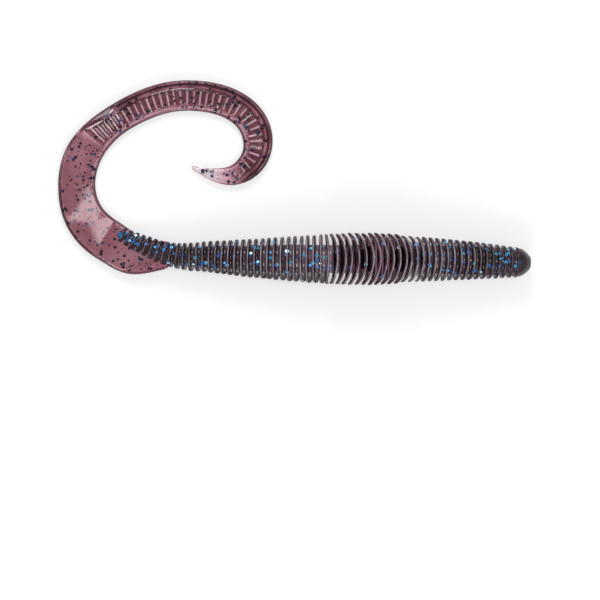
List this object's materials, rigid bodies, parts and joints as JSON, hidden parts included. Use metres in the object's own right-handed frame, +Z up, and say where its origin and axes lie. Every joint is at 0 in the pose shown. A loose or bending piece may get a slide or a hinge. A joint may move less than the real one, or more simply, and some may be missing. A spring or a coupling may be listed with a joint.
{
  "type": "soft plastic worm",
  "caption": "Ribbed soft plastic fishing worm with a smooth domed nose, a swollen ringed sac and a long flat ribbon tail that curls round on itself and bends at grooves along its length.",
  "frame": {"origin": "centre of the small flat at the tip of the nose", "axes": "+X along the body, out of the nose; +Z up, with the tail lying flat on the floor plane and curling towards +Y"},
  "size_m": [0.1305, 0.0569, 0.0144],
  "materials": {
    "body_plastisol": "gloss",
    "tail_plastisol": "gloss"
  },
  "bodies": {
    "nose": {"nose": "body_plastisol"},
    "front_1": {"front_1": "body_plastisol"},
    "front_2": {"front_2": "body_plastisol"},
    "front_3": {"front_3": "body_plastisol"},
    "sac_1": {"sac_1": "body_plastisol"},
    "sac_2": {"sac_2": "body_plastisol"},
    "rear_1": {"rear_1": "body_plastisol"},
    "rear_2": {"rear_2": "body_plastisol"},
    "rear_3": {"rear_3": "body_plastisol"},
    "rear_4": {"rear_4": "body_plastisol"},
    "rear_5": {"rear_5": "body_plastisol"},
    "rear_6": {"rear_6": "body_plastisol"},
    "tail_root": {"tail_root": "tail_plastisol"},
    "paddle_1": {"paddle_1": "tail_plastisol"},
    "paddle_2": {"paddle_2": "tail_plastisol"},
    "paddle_3": {"paddle_3": "tail_plastisol"},
    "paddle_4": {"paddle_4": "tail_plastisol"},
    "ribbon_1": {"ribbon_1": "tail_plastisol"},
    "ribbon_2": {"ribbon_2": "tail_plastisol"},
    "ribbon_3": {"ribbon_3": "tail_plastisol"},
    "ribbon_4": {"ribbon_4": "tail_plastisol"},
    "ribbon_5": {"ribbon_5": "tail_plastisol"},
    "ribbon_6": {"ribbon_6": "tail_plastisol"},
    "curl_1": {"curl_1": "tail_plastisol"},
    "curl_2": {"curl_2": "tail_plastisol"},
    "curl_3": {"curl_3": "tail_plastisol"},
    "curl_4": {"curl_4": "tail_plastisol"},
    "tip": {"tip": "tail_plastisol"}
  },
  "joints": [
    {"name": "front_sway", "type": "hinge", "parent": "nose", "child": "front_1", "pos_m": [-0.01375, 0.00057, 0.00084], "axis": [0, 0, 1], "range_deg": [-9.5, 9.5], "stiffness_Nm_per_rad": 0.0025},
    {"name": "front_arch", "type": "hinge", "parent": "front_1", "child": "front_2", "pos_m": [-0.0209, 0.00079, 0.00148], "axis": [0, 1, 0], "range_deg": [-8, 8], "stiffness_Nm_per_rad": 0.0025},
    {"name": "front_sway_2", "type": "hinge", "parent": "front_2", "child": "front_3", "pos_m": [-0.02806, 0.00094, 0.0019], "axis": [0, 0, 1], "range_deg": [-9.5, 9.5], "stiffness_Nm_per_rad": 0.0025},
    {"name": "front_arch_2", "type": "hinge", "parent": "front_3", "child": "sac_1", "pos_m": [-0.03522, 0.00103, 0.00248], "axis": [0, 1, 0], "range_deg": [-8, 8], "stiffness_Nm_per_rad": 0.0025},
    {"name": "front_sway_3", "type": "hinge", "parent": "sac_1", "child": "sac_2", "pos_m": [-0.04417, 0.00105, 0.00287], "axis": [0, 0, 1], "range_deg": [-9.5, 9.5], "stiffness_Nm_per_rad": 0.0025},
    {"name": "front_arch_3", "type": "hinge", "parent": "sac_2", "child": "rear_1", "pos_m": [-0.05312, 0.00105, 0.00274], "axis": [0, 1, 0], "range_deg": [-8, 8], "stiffness_Nm_per_rad": 0.0025},
    {"name": "rear_sway", "type": "hinge", "parent": "rear_1", "child": "rear_2", "pos_m": [-0.06028, 0.00106, 0.00237], "axis": [0, 0, 1], "range_deg": [-10, 10], "stiffness_Nm_per_rad": 0.0025},
    {"name": "rear_arch", "type": "hinge", "parent": "rear_2", "child": "rear_3", "pos_m": [-0.06745, 0.00112, 0.00188], "axis": [0, 1, 0], "range_deg": [-10, 10], "stiffness_Nm_per_rad": 0.0022},
    {"name": "rear_sway_2", "type": "hinge", "parent": "rear_3", "child": "rear_4", "pos_m": [-0.07461, 0.00125, 0.00133], "axis": [0, 0, 1], "range_deg": [-11.5, 11.5], "stiffness_Nm_per_rad": 0.0019},
    {"name": "rear_arch_2", "type": "hinge", "parent": "rear_4", "child": "rear_5", "pos_m": [-0.08177, 0.00145, 0.00075], "axis": [0, 1, 0], "range_deg": [-12, 12], "stiffness_Nm_per_rad": 0.0016},
    {"name": "rear_sway_3", "type": "hinge", "parent": "rear_5", "child": "rear_6", "pos_m": [-0.08893, 0.00172, 0.00011], "axis": [0, 0, 1], "range_deg": [-14, 14], "stiffness_Nm_per_rad": 0.0013},
    {"name": "rear_arch_3", "type": "hinge", "parent": "rear_6", "child": "tail_root", "pos_m": [-0.09788, 0.0021, -0.00055], "axis": [0, 1, 0], "range_deg": [-14, 14], "stiffness_Nm_per_rad": 0.001},
    {"name": "tail_flap", "type": "hinge", "parent": "tail_root", "child": "paddle_1", "pos_m": [-0.11689, 0.00653, -0.00315], "axis": [0.4617, 0.887, 0], "range_deg": [-25, 25], "stiffness_Nm_per_rad": 0.000056},
    {"name": "tail_open", "type": "hinge", "parent": "paddle_1", "child": "paddle_2", "pos_m": [-0.12293, 0.01247, -0.00315], "axis": [0, 0, 1], "range_deg": [-4, 30], "stiffness_Nm_per_rad": 0.0018436},
    {"name": "tail_open_2", "type": "hinge", "parent": "paddle_2", "child": "paddle_3", "pos_m": [-0.12529, 0.02133, -0.00315], "axis": [0, 0, 1], "range_deg": [-4, 30], "stiffness_Nm_per_rad": 0.0014235},
    {"name": "tail_flap_2", "type": "hinge", "parent": "paddle_3", "child": "paddle_4", "pos_m": [-0.12335, 0.03028, -0.00315], "axis": [0.9001, -0.4358, 0], "range_deg": [-25, 25], "stiffness_Nm_per_rad": 0.00004792},
    {"name": "tail_open_3", "type": "hinge", "parent": "paddle_4", "child": "ribbon_1", "pos_m": [-0.11753, 0.03735, -0.00315], "axis": [0, 0, 1], "range_deg": [-4, 30], "stiffness_Nm_per_rad": 0.0009243},
    {"name": "tail_open_4", "type": "hinge", "parent": "ribbon_1", "child": "ribbon_2", "pos_m": [-0.10843, 0.0431, -0.00315], "axis": [0, 0, 1], "range_deg": [-4, 30], "stiffness_Nm_per_rad": 0.0008},
    {"name": "tail_flap_3", "type": "hinge", "parent": "ribbon_2", "child": "ribbon_3", "pos_m": [-0.09999, 0.04602, -0.00315], "axis": [0.1851, -0.9827, 0], "range_deg": [-25, 25], "stiffness_Nm_per_rad": 0.00004},
    {"name": "tail_open_5", "type": "hinge", "parent": "ribbon_3", "child": "ribbon_4", "pos_m": [-0.09107, 0.04637, -0.00315], "axis": [0, 0, 1], "range_deg": [-4, 30], "stiffness_Nm_per_rad": 0.0008},
    {"name": "tail_open_6", "type": "hinge", "parent": "ribbon_4", "child": "ribbon_5", "pos_m": [-0.08243, 0.04412, -0.00315], "axis": [0, 0, 1], "range_deg": [-4, 30], "stiffness_Nm_per_rad": 0.0008},
    {"name": "tail_open_7", "type": "hinge", "parent": "ribbon_5", "child": "ribbon_6", "pos_m": [-0.07774, 0.04062, -0.00315], "axis": [0, 0, 1], "range_deg": [-4, 30], "stiffness_Nm_per_rad": 0.0008},
    {"name": "tail_open_8", "type": "hinge", "parent": "ribbon_6", "child": "curl_1", "pos_m": [-0.0752, 0.03535, -0.00315], "axis": [0, 0, 1], "range_deg": [-4, 30], "stiffness_Nm_per_rad": 0.0007889},
    {"name": "tail_flap_4", "type": "hinge", "parent": "curl_1", "child": "curl_2", "pos_m": [-0.07539, 0.03074, -0.00315], "axis": [-0.9576, 0.2882, 0], "range_deg": [-25, 25], "stiffness_Nm_per_rad": 0.00003658},
    {"name": "tail_open_9", "type": "hinge", "parent": "curl_2", "child": "curl_3", "pos_m": [-0.07778, 0.02679, -0.00315], "axis": [0, 0, 1], "range_deg": [-4, 30], "stiffness_Nm_per_rad": 0.0004512},
    {"name": "tail_open_10", "type": "hinge", "parent": "curl_3", "child": "curl_4", "pos_m": [-0.08177, 0.02447, -0.00315], "axis": [0, 0, 1], "range_deg": [-4, 30], "stiffness_Nm_per_rad": 0.000224},
    {"name": "tail_flap_5", "type": "hinge", "parent": "curl_4", "child": "tip", "pos_m": [-0.08639, 0.02436, -0.00315], "axis": [0.225, 0.9744, 0], "range_deg": [-25, 25], "stiffness_Nm_per_rad": 0.00001904}
  ],
  "couplings": [
    {"joint": "front_sway_2", "follows": "front_sway", "ratio": 1},
    {"joint": "front_arch_2", "follows": "front_arch", "ratio": 1},
    {"joint": "front_sway_3", "follows": "front_sway", "ratio": 1},
    {"joint": "front_arch_3", "follows": "front_arch", "ratio": 1},
    {"joint": "rear_sway_2", "follows": "rear_sway", "ratio": 1.15},
    {"joint": "rear_arch_2", "follows": "rear_arch", "ratio": 1.2},
    {"joint": "rear_sway_3", "follows": "rear_sway", "ratio": 1.4},
    {"joint": "rear_arch_3", "follows": "rear_arch", "ratio": 1.4},
    {"joint": "tail_open_2", "follows": "tail_open", "ratio": 1},
    {"joint": "tail_flap_2", "follows": "tail_flap", "ratio": 1},
    {"joint": "tail_open_3", "follows": "tail_open", "ratio": 1},
    {"joint": "tail_open_4", "follows": "tail_open", "ratio": 1},
    {"joint": "tail_flap_3", "follows": "tail_flap", "ratio": 1},
    {"joint": "tail_open_5", "follows": "tail_open", "ratio": 1},
    {"joint": "tail_open_6", "follows": "tail_open", "ratio": 1},
    {"joint": "tail_open_7", "follows": "tail_open", "ratio": 1},
    {"joint": "tail_open_8", "follows": "tail_open", "ratio": 1},
    {"joint": "tail_flap_4", "follows": "tail_flap", "ratio": 1},
    {"joint": "tail_open_9", "follows": "tail_open", "ratio": 1},
    {"joint": "tail_open_10", "follows": "tail_open", "ratio": 1},
    {"joint": "tail_flap_5", "follows": "tail_flap", "ratio": 1}
  ]
}
